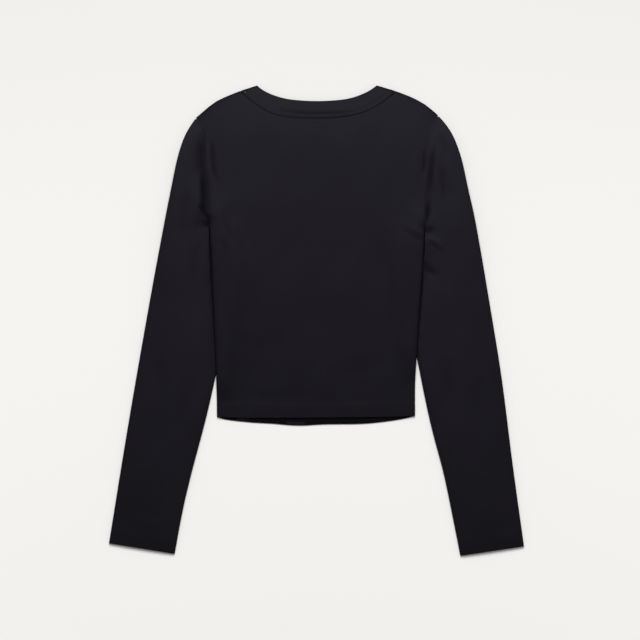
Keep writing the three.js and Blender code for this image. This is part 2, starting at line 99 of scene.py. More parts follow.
makeLights(lightSettings)
bpy.context.scene.view_settings.view_transform = "Standard"
bpy.context.scene.view_settings.look = "None"

# The paper's tone is painted shade near the neck-side lamp and painted light towards the cuffs and the sides.
# It cancels the lamp's falloff, so the floor shows evenly bright
floorSettings = {
    "size": 8.0,
    "drop": 0.0004,  # just under the cloth
    "nearNeck": (0.688, 0.680, 0.667),
    "nearCuffs": (0.966, 0.953, 0.935),
    "reach": 0.9,  # over which the paper's tone changes, in metres
    "sideLimit": 0.6,
    "sideShade": 0.22,  # how much brighter the paper is painted with the square of the distance from the middle: painted light where less lamp light falls
    "roughness": 0.9,
    "specular": 0.1,
}


def makeFloor(settings):
    bpy.ops.object.select_all(action="DESELECT")
    bpy.ops.mesh.primitive_plane_add(size=settings["size"], location=(0, 0, -settings["drop"]))
    floor = bpy.context.active_object
    floor.name = "paleFloor"
    bpy.ops.object.transform_apply(location=True)
    material = bpy.data.materials.new("palePaper")
    material.use_nodes = True
    nodes, links = material.node_tree.nodes, material.node_tree.links
    shader = nodes["Principled BSDF"]
    shader.inputs["Roughness"].default_value = settings["roughness"]
    shader.inputs["Specular IOR Level"].default_value = settings["specular"]
    # Painted counter-shading: the tone changes from the cuffs to the neck and brightens away from the middle
    place = nodes.new("ShaderNodeTexCoord")
    split = nodes.new("ShaderNodeSeparateXYZ")
    along = nodes.new("ShaderNodeMapRange")
    along.inputs["From Min"].default_value = -settings["reach"] / 2
    along.inputs["From Max"].default_value = settings["reach"] / 2
    tone = nodes.new("ShaderNodeMix")
    tone.data_type = "RGBA"
    tone.inputs["A"].default_value = (*settings["nearCuffs"], 1)
    tone.inputs["B"].default_value = (*settings["nearNeck"], 1)
    sideways = nodes.new("ShaderNodeMath")
    sideways.operation = "POWER"
    sideways.inputs[1].default_value = 2
    nearMiddle = nodes.new("ShaderNodeMath")
    nearMiddle.operation = "MINIMUM"
    nearMiddle.inputs[1].default_value = settings["sideLimit"] ** 2
    dimmed = nodes.new("ShaderNodeMath")
    dimmed.operation = "MULTIPLY_ADD"
    dimmed.inputs[1].default_value = settings["sideShade"]
    dimmed.inputs[2].default_value = 1
    shaded = nodes.new("ShaderNodeVectorMath")
    shaded.operation = "SCALE"
    links.new(place.outputs["Object"], split.inputs["Vector"])
    links.new(split.outputs["Y"], along.inputs["Value"])
    links.new(along.outputs["Result"], tone.inputs["Factor"])
    links.new(split.outputs["X"], sideways.inputs[0])
    links.new(sideways.outputs["Value"], nearMiddle.inputs[0])
    links.new(nearMiddle.outputs["Value"], dimmed.inputs[0])
    links.new(tone.outputs["Result"], shaded.inputs[0])
    links.new(dimmed.outputs["Value"], shaded.inputs["Scale"])
    links.new(shaded.outputs["Vector"], shader.inputs["Base Color"])
    floor.data.materials.append(material)


makeFloor(floorSettings)
print("light and floor made")


# Shader groups that the cloth and the thread share

def newGroup(name, inputs, outputs):
    group = bpy.data.node_groups.new(name, "ShaderNodeTree")
    for label, kind, value in inputs:
        socket = group.interface.new_socket(name=label, in_out="INPUT", socket_type=kind)
        if value is not None:
            socket.default_value = value
    for label, kind in outputs:
        group.interface.new_socket(name=label, in_out="OUTPUT", socket_type=kind)
    return group, group.nodes.new("NodeGroupInput"), group.nodes.new("NodeGroupOutput")


def mathNode(group, operation, first, second=None, third=None):
    node = group.nodes.new("ShaderNodeMath")
    node.operation = operation
    for socket, value in zip(node.inputs, (first, second, third)):
        if value is None:
            continue
        if isinstance(value, (int, float)):
            socket.default_value = value
        else:
            group.links.new(value, socket)
    return node.outputs["Value"]


knitForm = {
    "slant": 1.6,  # how steeply the legs of a loop rise, in courses for each wale
    "legRoundness": 0.6,
    "loopDepth": 0.45,  # how far the legs sink between two courses
    "grooveShade": 0.4,  # painted shade: the darker tone in the grooves between the legs
}
mottleForm = {"coarseDetail": 3.0, "fineDetail": 4.0, "fineShare": 0.4}


def makeKnitGroup(form):
    # Columns of V-shaped loops: two slanted legs to a wale, one row of loops to a course
    group, inside, outside = newGroup(
        "jerseyKnit",
        [("Vector", "NodeSocketVector", None), ("Wale Width", "NodeSocketFloat", 0.0006),
         ("Course Height", "NodeSocketFloat", 0.0005)],
        [("Relief", "NodeSocketFloat"), ("Shade", "NodeSocketFloat")],
    )
    split = group.nodes.new("ShaderNodeSeparateXYZ")
    group.links.new(inside.outputs["Vector"], split.inputs["Vector"])
    across = mathNode(group, "DIVIDE", split.outputs["X"], inside.outputs["Wale Width"])
    along = mathNode(group, "DIVIDE", split.outputs["Y"], inside.outputs["Course Height"])
    fromMiddle = mathNode(group, "PINGPONG", across, 0.5)
    slanted = mathNode(group, "MULTIPLY_ADD", fromMiddle, form["slant"], along)
    turn = mathNode(group, "MULTIPLY", slanted, 2 * math.pi)
    loops = mathNode(group, "MULTIPLY_ADD", mathNode(group, "SINE", turn), 0.5, 0.5)
    leg = mathNode(group, "SINE", mathNode(group, "MULTIPLY", fromMiddle, 2 * math.pi))
    body = mathNode(group, "POWER", mathNode(group, "MAXIMUM", leg, 0.0), form["legRoundness"])
    risen = mathNode(group, "MULTIPLY_ADD", loops, form["loopDepth"], 1 - form["loopDepth"])
    relief = mathNode(group, "MULTIPLY", body, risen)
    shade = mathNode(group, "MULTIPLY_ADD", relief, 1 - form["grooveShade"], form["grooveShade"])
    group.links.new(relief, outside.inputs["Relief"])
    group.links.new(shade, outside.inputs["Shade"])
    return group


def makeMottleGroup(form):
    # Slow changes over a hand's width with a finer cloud over them
    group, inside, outside = newGroup(
        "clothMottle",
        [("Vector", "NodeSocketVector", None), ("Coarse Scale", "NodeSocketFloat", 14.0),
         ("Fine Scale", "NodeSocketFloat", 160.0)],
        [("Mask", "NodeSocketFloat")],
    )
    coarse = group.nodes.new("ShaderNodeTexNoise")
    coarse.inputs["Detail"].default_value = form["coarseDetail"]
    fine = group.nodes.new("ShaderNodeTexNoise")
    fine.inputs["Detail"].default_value = form["fineDetail"]
    for noiseNode, label in ((coarse, "Coarse Scale"), (fine, "Fine Scale")):
        group.links.new(inside.outputs["Vector"], noiseNode.inputs["Vector"])
        group.links.new(inside.outputs[label], noiseNode.inputs["Scale"])
    coarsePart = mathNode(group, "MULTIPLY", coarse.outputs["Fac"], 1 - form["fineShare"])
    mixed = mathNode(group, "MULTIPLY_ADD", fine.outputs["Fac"], form["fineShare"], coarsePart)
    group.links.new(mixed, outside.inputs["Mask"])
    return group


sharedEffects = {"knit": makeKnitGroup(knitForm), "mottle": makeMottleGroup(mottleForm)}

jerseyLooks = {
    "blackJersey": {
        "dark": (0.0012, 0.0011, 0.0016), "light": (0.0034, 0.0031, 0.0044),
        "toneFrom": 0.1, "toneTo": 0.55,  # knit shade times mottle that gives the dark and the light tone
        "waleWidth": 0.00058, "courseHeight": 0.00048, "turn": 0.0,
        "roughness": (0.55, 0.61), "specular": 0.133, "specularTint": (0.81, 0.74, 1.0),
        "foldRoughness": 0.42,  # added where the pile is brushed up in a deep fold
        "knitDepth": 0.00004, "knitStrength": 0.6,
        "crumpleDepth": 0.0007, "crumpleStrength": 0.5, "crumpleScale": 22.0, "crumpleDetail": 2.0,
    },
}
for lookName, changes in {
    # the sleeves' copies reflect more than the body's: painted light for the brighter light that they catch;
    # the turn is their grain
    "leftSleeveJersey": {"turn": math.radians(-6), "specular": 0.147},
    "rightSleeveJersey": {"turn": math.radians(6), "specular": 0.147},
    "neckbandJersey": {"courseHeight": 0.00058, "waleWidth": 0.00048, "crumpleDepth": 0.0003,
                       "specular": 0.126, "specularTint": (0.82, 0.8, 1.0)},
    # the front panel's inner side: duller, and darker by painted shade for the shadow under the back hem
    "insideJerseyPaintedShade": {"dark": (0.0008, 0.0007, 0.0010), "light": (0.0018, 0.0016, 0.0022),
                     "specular": 0.07, "roughness": (0.7, 0.8)},
}.items():
    jerseyLooks[lookName] = {**jerseyLooks["blackJersey"], **changes}


def placeGroup(material, effect, vector, values):
    node = material.node_tree.nodes.new("ShaderNodeGroup")
    node.node_tree = sharedEffects[effect]
    material.node_tree.links.new(vector, node.inputs["Vector"])
    for label, value in values.items():
        node.inputs[label].default_value = value
    return node


def makeJersey(name, look):
    material = bpy.data.materials.new(name)
    material.use_nodes = True
    nodes, links = material.node_tree.nodes, material.node_tree.links
    shader = nodes["Principled BSDF"]
    shader.inputs["Specular IOR Level"].default_value = look["specular"]
    shader.inputs["Specular Tint"].default_value = (*look["specularTint"], 1)
    place = nodes.new("ShaderNodeTexCoord")
    grain = nodes.new("ShaderNodeMapping")
    grain.inputs["Rotation"].default_value = (0, 0, look["turn"])
    links.new(place.outputs["Object"], grain.inputs["Vector"])
    knit = placeGroup(material, "knit", grain.outputs["Vector"],
                      {"Wale Width": look["waleWidth"], "Course Height": look["courseHeight"]})
    mottle = placeGroup(material, "mottle", place.outputs["Object"], {})

    tone = nodes.new("ShaderNodeMix")
    tone.data_type = "RGBA"
    tone.inputs["A"].default_value = (*look["dark"], 1)
    tone.inputs["B"].default_value = (*look["light"], 1)
    share = nodes.new("ShaderNodeMath")
    share.operation = "MULTIPLY"
    links.new(knit.outputs["Shade"], share.inputs[0])
    links.new(mottle.outputs["Mask"], share.inputs[1])
    spread = nodes.new("ShaderNodeMapRange")
    spread.inputs["From Min"].default_value = look["toneFrom"]
    spread.inputs["From Max"].default_value = look["toneTo"]
    links.new(share.outputs["Value"], spread.inputs["Value"])
    links.new(spread.outputs["Result"], tone.inputs["Factor"])
    links.new(tone.outputs["Result"], shader.inputs["Base Color"])

    rough = nodes.new("ShaderNodeMapRange")
    rough.inputs["To Min"].default_value, rough.inputs["To Max"].default_value = look["roughness"]
    links.new(mottle.outputs["Mask"], rough.inputs["Value"])
    fold = nodes.new("ShaderNodeAttribute")
    fold.attribute_name = "fold"
    brushed = nodes.new("ShaderNodeMath")
    brushed.operation = "MULTIPLY_ADD"
    brushed.use_clamp = True
    brushed.inputs[1].default_value = look["foldRoughness"]
    links.new(fold.outputs["Fac"], brushed.inputs[0])
    links.new(rough.outputs["Result"], brushed.inputs[2])
    links.new(brushed.outputs["Value"], shader.inputs["Roughness"])

    crumple = nodes.new("ShaderNodeTexNoise")
    crumple.inputs["Scale"].default_value = look["crumpleScale"]
    crumple.inputs["Detail"].default_value = look["crumpleDetail"]
    links.new(place.outputs["Object"], crumple.inputs["Vector"])
    softBump = nodes.new("ShaderNodeBump")
    softBump.inputs["Distance"].default_value = look["crumpleDepth"]
    softBump.inputs["Strength"].default_value = look["crumpleStrength"]
    links.new(crumple.outputs["Fac"], softBump.inputs["Height"])
    knitBump = nodes.new("ShaderNodeBump")
    knitBump.inputs["Distance"].default_value = look["knitDepth"]
    knitBump.inputs["Strength"].default_value = look["knitStrength"]
    links.new(knit.outputs["Relief"], knitBump.inputs["Height"])
    links.new(softBump.outputs["Normal"], knitBump.inputs["Normal"])
    links.new(knitBump.outputs["Normal"], shader.inputs["Normal"])
    return material


jerseys = {name: makeJersey(name, look) for name, look in jerseyLooks.items()}

threadTwist = {"scale": 900.0, "distortion": 0.4, "depth": 0.00006, "strength": 0.6}
threadLooks = {
    "blackThread": {"dark": (0.0012, 0.0011, 0.0015), "light": (0.0030, 0.0028, 0.0036),
                    "roughness": 0.6, "specular": 0.1},
    "paleThread": {"dark": (0.34, 0.33, 0.33), "light": (0.5, 0.49, 0.48),
                   "roughness": 0.6, "specular": 0.3},
}


def makeThread(name, look, twist=threadTwist):
    material = bpy.data.materials.new(name)
    material.use_nodes = True
    nodes, links = material.node_tree.nodes, material.node_tree.links
    shader = nodes["Principled BSDF"]
    shader.inputs["Roughness"].default_value = look["roughness"]
    shader.inputs["Specular IOR Level"].default_value = look["specular"]
    place = nodes.new("ShaderNodeTexCoord")
    plies = nodes.new("ShaderNodeTexWave")
    plies.bands_direction = "DIAGONAL"
    plies.inputs["Scale"].default_value = twist["scale"]
    plies.inputs["Distortion"].default_value = twist["distortion"]
    links.new(place.outputs["Object"], plies.inputs["Vector"])
    tone = nodes.new("ShaderNodeMix")
    tone.data_type = "RGBA"
    tone.inputs["A"].default_value = (*look["dark"], 1)
    tone.inputs["B"].default_value = (*look["light"], 1)
    links.new(plies.outputs["Fac"], tone.inputs["Factor"])
    links.new(tone.outputs["Result"], shader.inputs["Base Color"])
    bump = nodes.new("ShaderNodeBump")
    bump.inputs["Distance"].default_value = twist["depth"]
    bump.inputs["Strength"].default_value = twist["strength"]
    links.new(plies.outputs["Fac"], bump.inputs["Height"])
    links.new(bump.outputs["Normal"], shader.inputs["Normal"])
    return material


threads = {name: makeThread(name, look) for name, look in threadLooks.items()}
print("materials made")


# Cloth pieces: fine shells on the frame's solids

shellSettings = {
    "mergeReach": 1e-6,  # corners nearer than this are one
    "rimAngle": math.radians(58),  # sharper edges than this are the cloth's cut or folded rims
    "rimRound": 0.00016,
    "flatPair": 0.5,  # radians between two halves of one face
    "levels": 2,
    "wall": 1.2,  # thickness in millimetres
    "smoothAngle": math.radians(50),
    "seamReach": 0.00045,  # rims nearer to another piece than this are sewn to it
    "seamPress": 0.00019,  # how far past the seam's middle they are pressed together
}


def nodeTree(node):
    shape = bmesh.new()
    shape.from_mesh(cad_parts[node].data)
    tree = BVHTree.FromBMesh(shape)
    shape.free()
    return tree


clothNodes = ["back_panel", "front_panel", "sleeve_left", "sleeve_right", "neckband"]
nodeTrees = {node: nodeTree(node) for node in clothNodes}


def closeSeams(rims, node, settings):
    # Sewn rims meet halfway across the seam
    for vert in {vert for edge in rims for vert in edge.verts}:
        nearest = None
        for other in clothNodes:
            if other == node:
                continue
            place, _, _, distance = nodeTrees[other].find_nearest(vert.co, settings["seamReach"])
            if place is not None and (nearest is None or distance < nearest[1]):
                nearest = (place, distance)
        if nearest:
            place, distance = nearest
            vert.co += (place - vert.co).normalized() * (distance / 2 + settings["seamPress"])


def selectOnly(piece):
    bpy.ops.object.select_all(action="DESELECT")
    piece.select_set(True)
    bpy.context.view_layer.objects.active = piece


def pairTriangles(shape, flat):
    # Join the two halves of each four-sided face again, the plain ones first
    longest = {face: max(face.edges, key=lambda edge: edge.calc_length()) for face in shape.faces}
    shared = [edge for edge in shape.edges if all(longest[face] is edge for face in edge.link_faces)]
    bmesh.ops.dissolve_edges(shape, edges=shared, use_verts=False)
    loose = {face for face in shape.faces if len(face.verts) == 3}
    joins = []

    def partners(face):
        return [
            (edge, other) for edge in face.edges for other in edge.link_faces
            if other is not face and other in loose and edge.calc_face_angle() < flat
        ]

    while True:
        options = [(len(found), found, face) for face in loose if (found := partners(face))]
        if not options:
            break
        _, found, face = min(options, key=lambda option: (option[0], option[2].index))
        edge, other = max(found, key=lambda pair: pair[0].calc_length())
        joins.append(edge)
        loose -= {face, other}
    bmesh.ops.dissolve_edges(shape, edges=joins, use_verts=False)


def clothShell(node, name, settings=shellSettings):
    shape = bmesh.new()
    shape.from_mesh(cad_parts[node].data)
    bmesh.ops.remove_doubles(shape, verts=shape.verts, dist=settings["mergeReach"])
    shape.faces.index_update()
    pairTriangles(shape, settings["flatPair"])
    rims = [edge for edge in shape.edges if edge.calc_face_angle(0) > settings["rimAngle"]]
    closeSeams(rims, node, settings)
    bmesh.ops.bevel(shape, geom=rims, offset=settings["rimRound"], segments=2, profile=0.5,
                    affect="EDGES", clamp_overlap=False)
    mesh = bpy.data.meshes.new(name)
    shape.to_mesh(mesh)
    shape.free()
    piece = bpy.data.objects.new(name, mesh)
    bpy.context.scene.collection.objects.link(piece)
    selectOnly(piece)
    finer = piece.modifiers.new("finer", "SUBSURF")
    finer.levels = finer.render_levels = settings["levels"]
    bpy.ops.object.modifier_apply(modifier=finer.name)
    return piece


def readPoints(mesh, what):
    values = np.empty(len(mesh.vertices) * 3)
    mesh.vertices.foreach_get(what, values)
    return values.reshape(-1, 3)


def smoothStep(value, low, high):
    share = np.clip((value - low) / (high - low), 0, 1)
    return share * share * (3 - 2 * share)


def alongRun(points, run):
    # Distance to a run of points, positive on its left, and the share of its length passed there
    run = np.array(run, float) * mm
    lengths = np.linalg.norm(run[1:] - run[:-1], axis=1)
    before = np.concatenate(([0], np.cumsum(lengths)))
    nearest = np.full(len(points), 1e9)
    side = np.zeros(len(points))
    share = np.zeros(len(points))
    for start, end, length, passed in zip(run[:-1], run[1:], lengths, before):
        way = (end - start) / length
        offset = points[:, :2] - start
        forward = np.clip(offset @ way, 0, length)
        distance = np.linalg.norm(offset - forward[:, None] * way, axis=1)
        turned = way[0] * offset[:, 1] - way[1] * offset[:, 0]
        closer = distance < nearest
        nearest = np.where(closer, distance, nearest)
        side = np.where(closer, np.where(turned < 0, -distance, distance), side)
        share = np.where(closer, (passed + forward) / before[-1], share)
    return side, share


creaseForm = {
    # shares of the crease's width, from the middle of its trough
    "floor": 0.15, "lipPlace": 2.4, "lipWidth": 1.4,
    "lips": (0.3, 0.3),  # height of the lips as a share of the depth, where a crease names none
    "fade": (0.35, 0.35),  # share of the length over which each end comes up, where a crease names none
    "deepest": 2.6,  # millimetres at which the pile is fully brushed up
}


def creaseShape(points, crease, form=creaseForm):
    # A trough with a narrow floor, and its soft raised lips; pairs give the left side of the run first
    side, share = alongRun(points, crease["along"])
    widths = crease["width"] if isinstance(crease["width"], tuple) else (crease["width"],) * 2
    width = np.where(side > 0, widths[0], widths[1]) * mm
    lips = crease.get("lips", form["lips"])
    lip = np.where(side > 0, lips[0], lips[1])
    startFade, endFade = crease.get("fade", form["fade"])
    fade = smoothStep(share, 0, startFade) * (1 - smoothStep(share, 1 - endFade, 1))
    away = np.abs(side) / width
    trough = np.exp(form["floor"] - np.sqrt(away ** 2 + form["floor"] ** 2))
    raised = lip * np.exp(-((away - form["lipPlace"]) / form["lipWidth"]) ** 2)
    size = crease["depth"] * mm * fade
    return size * trough, size * raised


def creaseHeight(points, crease):
    trough, lips = creaseShape(points, crease)
    return lips - trough


def foldMask(points, part):
    # How deep in a fold each point lies, from 0 to 1
    depth = sum(creaseShape(points, crease)[0] for crease in creases if part in crease["on"])
    return np.clip(depth / (creaseForm["deepest"] * mm), 0, 1)


waveSettings = {
    "seed": 11, "count": 6, "lengths": (0.05, 0.14),
    "height": 0.1,  # of each wave, in millimetres
}


def slowWaves(points, settings=waveSettings):
    # A sum of a few long waves, each in a direction of its own
    source = random.Random(settings["seed"])
    height = np.zeros(len(points))
    for _ in range(settings["count"]):
        angle = source.uniform(0, math.pi)
        wavelength = source.uniform(*settings["lengths"])
        phase = source.uniform(0, 2 * math.pi)
        forward = points[:, 0] * math.cos(angle) + points[:, 1] * math.sin(angle)
        height += np.sin(2 * math.pi * forward / wavelength + phase)
    return height * settings["height"] * mm


# Edges of the garment, in millimetres, for how the upper layer rounds off towards them
edgeRuns = {
    "leftShoulder": [(-168.7, 283.5), (-149, 300.3), (-118.3, 317.1), (-83.3, 329)],
    "rightShoulder": [(84.7, 329), (122.5, 317.1), (154.7, 300.3), (170.1, 287)],
    "leftSleeveOuter": [(-168.7, 283.5), (-186.9, 252.7), (-200.9, 196.7), (-233.1, 28.7), (-290.5, -311.5)],
    "rightSleeveOuter": [(170.1, 287), (193.9, 252.7), (209.3, 196.7), (241.5, 28.7), (290.5, -315.7)],
    "leftSide": [(-150.8, 139.6), (-148.5, 104), (-144.1, -3), (-140.3, -79), (-139.3, -135)],
    "rightSide": [(151.6, 130.9), (148.5, 68), (144.2, 15), (139.8, -55), (137.9, -133.5)],
    "leftSleeveInner": [(-141.2, -79), (-154.7, -139.3), (-170.1, -195.3), (-198.1, -326.2)],
    "rightSleeveInner": [(140.9, -55), (164.5, -167.3), (185.5, -251.3), (200.9, -329)],
    "hem": [(-139.3, -135), (-100, -136), (0, -135.6), (100, -134.6), (137.9, -133.5)],
    "leftCuff": [(-290.5, -311.5), (-198.1, -326.2)],
    "rightCuff": [(200.9, -329), (290.5, -315.7)],
    "neck": [(-83.3, 328.3), (-58, 313), (-23, 306.6), (5, 305.9), (40, 307.3), (68, 314.3), (84.7, 328.3)],
}
outerEdges = {
    "leftShoulder": (0.6, 9), "rightShoulder": (0.6, 9),
    "leftSleeveOuter": (0.2, 8), "rightSleeveOuter": (0.2, 8),
}
roundedEdges = {
    # share of the rounding's height that is lost at the edge, and how many millimetres it takes to come back
    "body": {**outerEdges, "leftSide": (0.9, 3), "rightSide": (0.25, 3), "hem": (0.6, 60),
             "neck": (1.0, 14)},
    "leftSleeve": {**outerEdges, "leftSide": (0.9, 7), "leftSleeveInner": (0.6, 5),
                   "leftCuff": (0.5, 25)},
    "rightSleeve": {**outerEdges, "rightSide": (-0.4, 9), "rightSleeveInner": (0.6, 5),
                    "rightCuff": (0.5, 25)},
}
upperLayer = {
    "roundHeight": 2.2,  # how high the cloth stands over its flat form, away from the edges
    "leanHeight": 4.6, "leanReach": 29.0,  # the longer slope below the shoulders
    "leanTop": 50, "leanEnd": 360,  # where the slope turns over and where it has come down again
    "neckLost": 0.6, "neckReach": 30.0,  # the neckline lies lower than the back behind it
    "calmReach": 2.5,  # creases die away this near to the edges
    "underarmLost": 0.3, "underarmReach": 6.0,  # the cloth stands up less where four seams meet
    "tuck": 1.5, "tuckReach": 7.0,  # how far a sleeve's corner is drawn in under the body at the underarm
    "underFade": (6.0, 0.5),  # how far above the underarm and across the side a sleeve gets free of the body
    # a fold of the right sleeve stands level with the body here
    "foldBridge": {"place": (154, 109), "reach": 12.0, "height": 0.8},
}

creases = [
    # on: the parts that it shows on; along: points in millimetres
    # depth and width of the trough; lips: height of its raised sides; fade: how its two ends run out
    {"on": ("body", "leftSleeve"), "along": [(-161.5, 266), (-161.7, 222), (-160.6, 196)],
     "depth": 1.3, "width": (3, 7), "lips": (0.2, 0.1), "fade": (0.4, 0.3)},
    {"on": ("body", "leftSleeve"), "along": [(-160.8, 214), (-159.2, 190), (-158.4, 172), (-158.6, 149)],
     "depth": 2.5, "width": (4, 1.8), "lips": (0.05, 0.05), "fade": (0.4, 0.2)},
    {"on": ("body", "leftSleeve"), "along": [(-163, 165), (-157.8, 151.5), (-152.8, 143.5), (-151, 130)],
     "depth": 2.8, "width": (2.2, 2.6), "lips": (0.0, 0.0), "fade": (0.25, 0.05)},
    {"on": ("leftSleeve",), "along": [(-160.5, 152), (-160, 140), (-157, 122)],
     "depth": 0.5, "width": 4, "lips": (0.0, 0.1), "fade": (0.4, 0.5)},
    {"on": ("body", "leftSleeve"), "along": [(-147.7, 256), (-145.5, 222), (-140.7, 188)],
     "depth": 0.9, "width": 2.6, "lips": (0.2, 0.3)},
    {"on": ("leftSleeve",), "along": [(-160, 158), (-166, 136), (-170, 118)], "depth": 0.5, "width": 6},
    {"on": ("leftSleeve",), "along": [(-163, 118), (-170, 84), (-173, 43)], "depth": 0.5, "width": 8},
    {"on": ("leftSleeve",), "along": [(-176, 190), (-186, 150), (-190, 112)], "depth": 0.4, "width": 7},
    {"on": ("leftSleeve",), "along": [(-168, -70), (-186, -112), (-190, -160)], "depth": 0.5, "width": 8},
    {"on": ("leftSleeve",), "along": [(-232, -40), (-216, -84), (-212, -128)], "depth": 0.4, "width": 8},
    {"on": ("leftSleeve",), "along": [(-252, -214), (-232, -232), (-206, -238)], "depth": 0.4, "width": 6},
    {"on": ("leftSleeve",), "along": [(-196, -262), (-222, -272), (-258, -266)], "depth": 0.35, "width": 6},
    {"on": ("body",), "along": [(-131, 150), (-122, 128), (-116, 106)], "depth": 0.35, "width": 4},
    {"on": ("body",), "along": [(-139, 118), (-128, 104), (-122, 84)], "depth": 0.25, "width": 4},
    {"on": ("body", "rightSleeve"), "along": [(150.5, 240), (150.5, 218), (148, 200)],
     "depth": 0.9, "width": 3, "lips": (0.3, 0.1)},
    {"on": ("body", "rightSleeve"), "along": [(165, 250), (161, 218), (158.6, 192), (156.5, 164)],
     "depth": 1.1, "width": 2.4, "lips": (0.2, 0.2)},
    {"on": ("body", "rightSleeve"), "along": [(157.4, 175), (156, 152), (154, 138), (153.3, 124)],
     "depth": 1.9, "width": 2.4, "lips": (0.05, 0.05), "fade": (0.5, 0.5)},
    {"on": ("rightSleeve",), "along": [(174.5, 220), (177, 192), (181, 168)], "depth": 0.55, "width": 4},
    {"on": ("body",), "along": [(112, 131), (131, 121), (152, 110)],
     "depth": 0.5, "width": (3, 4.5), "lips": (0.6, 0.1), "fade": (0.6, 0.1)},
    {"on": ("rightSleeve",), "along": [(150, 111), (164, 104.5), (181, 89)],
     "depth": 0.65, "width": (2.6, 4.5), "lips": (0.5, 0.1), "fade": (0.3, 0.5)},
    {"on": ("rightSleeve",), "along": [(149, 86), (153, 72), (173, 59)],
     "depth": 1.7, "width": (3.5, 3), "lips": (0.3, 0.1), "fade": (0.2, 0.6)},
    {"on": ("rightSleeve",), "along": [(168, 262), (176, 252), (186, 230)], "depth": 0.4, "width": 6},
    {"on": ("rightSleeve",), "along": [(170, -40), (184, -84), (186, -132)], "depth": 0.5, "width": 8},
    {"on": ("rightSleeve",), "along": [(240, -60), (222, -102), (224, -148)], "depth": 0.4, "width": 8},
    {"on": ("rightSleeve",), "along": [(200, -236), (226, -242), (254, -230)], "depth": 0.4, "width": 6},
    {"on": ("body",), "along": [(-96, 262), (-70, 254), (-38, 258)], "depth": 0.12, "width": 7},
    {"on": ("body",), "along": [(46, 260), (76, 255), (104, 266)], "depth": 0.12, "width": 7},
    {"on": ("body",), "along": [(-120, -20), (-80, -34), (-36, -30)], "depth": 0.3, "width": 8},
    {"on": ("body",), "along": [(30, -72), (72, -64), (112, -46)], "depth": 0.3, "width": 8},
    {"on": ("body",), "along": [(-110, -100), (-60, -108), (10, -104)], "depth": 0.25, "width": 7},
    {"on": ("neckband",),
     "along": [(-68, 298.8), (-52, 294.5), (-37, 292), (-18, 290.5), (2, 290.1), (22, 290.4), (42, 291.7),
               (58, 294.2), (75, 299)],
     "depth": 0.6, "width": 1.5, "lips": (0.1, 0.4), "fade": (0.3, 0.3)},
]

# Shallow troughs pressed up into the cloth that lies on the table
underCreases = {
    "frontPanel": [
        {"along": [(-60, 190), (-10, 172), (50, 180)], "depth": 0.5, "width": 6, "lips": (0, 0)},
        {"along": [(-90, 40), (-30, 28), (20, 44)], "depth": 0.4, "width": 7, "lips": (0, 0)},
        {"along": [(20, -60), (62, -48), (104, -66)], "depth": 0.5, "width": 6, "lips": (0, 0)},
        {"along": [(-104, -84), (-60, -96), (-14, -88)], "depth": 0.4, "width": 6, "lips": (0, 0)},
    ],
    "leftSleeve": [
        {"along": [(-170, 200), (-180, 150), (-176, 100)], "depth": 0.5, "width": 6, "lips": (0, 0)},
        {"along": [(-200, 20), (-190, -40), (-206, -96)], "depth": 0.5, "width": 6, "lips": (0, 0)},
        {"along": [(-250, -180), (-226, -206), (-200, -214)], "depth": 0.5, "width": 5, "lips": (0, 0)},
    ],
    "rightSleeve": [
        {"along": [(172, 200), (186, 150), (178, 96)], "depth": 0.5, "width": 6, "lips": (0, 0)},
        {"along": [(206, 10), (196, -46), (214, -100)], "depth": 0.5, "width": 6, "lips": (0, 0)},
        {"along": [(256, -190), (230, -212), (204, -206)], "depth": 0.5, "width": 5, "lips": (0, 0)},
    ],
}


def underBody(points, side, settings=upperLayer):
    # 1 where a sleeve lies under the side of the body and has no room to move
    above, across = (reach * mm for reach in settings["underFade"])
    run = edgeRuns["leftSide" if side < 0 else "rightSide"]
    heights = [y * mm for _, y in reversed(run)]
    places = [x * mm for x, _ in reversed(run)]
    inside = (np.interp(points[:, 1], heights, places) - points[:, 0]) * side
    return smoothStep(inside, -across, across) * (points[:, 1] < heights[-1] - above)


def tuckUnderarm(points, side, settings=upperLayer):
    # Draws a sleeve's corner in under the side of the body, so that the floor doesn't show there
    underarm = np.array(edgeRuns["leftSide" if side < 0 else "rightSide"][0]) * mm
    away = np.linalg.norm(points[:, :2] - underarm, axis=1) / (settings["tuckReach"] * mm)
    points[:, 0] -= side * settings["tuck"] * mm * np.exp(-away ** 2)


def comesBack(distance, reach):
    return 1 - np.exp(-distance / (reach * mm))


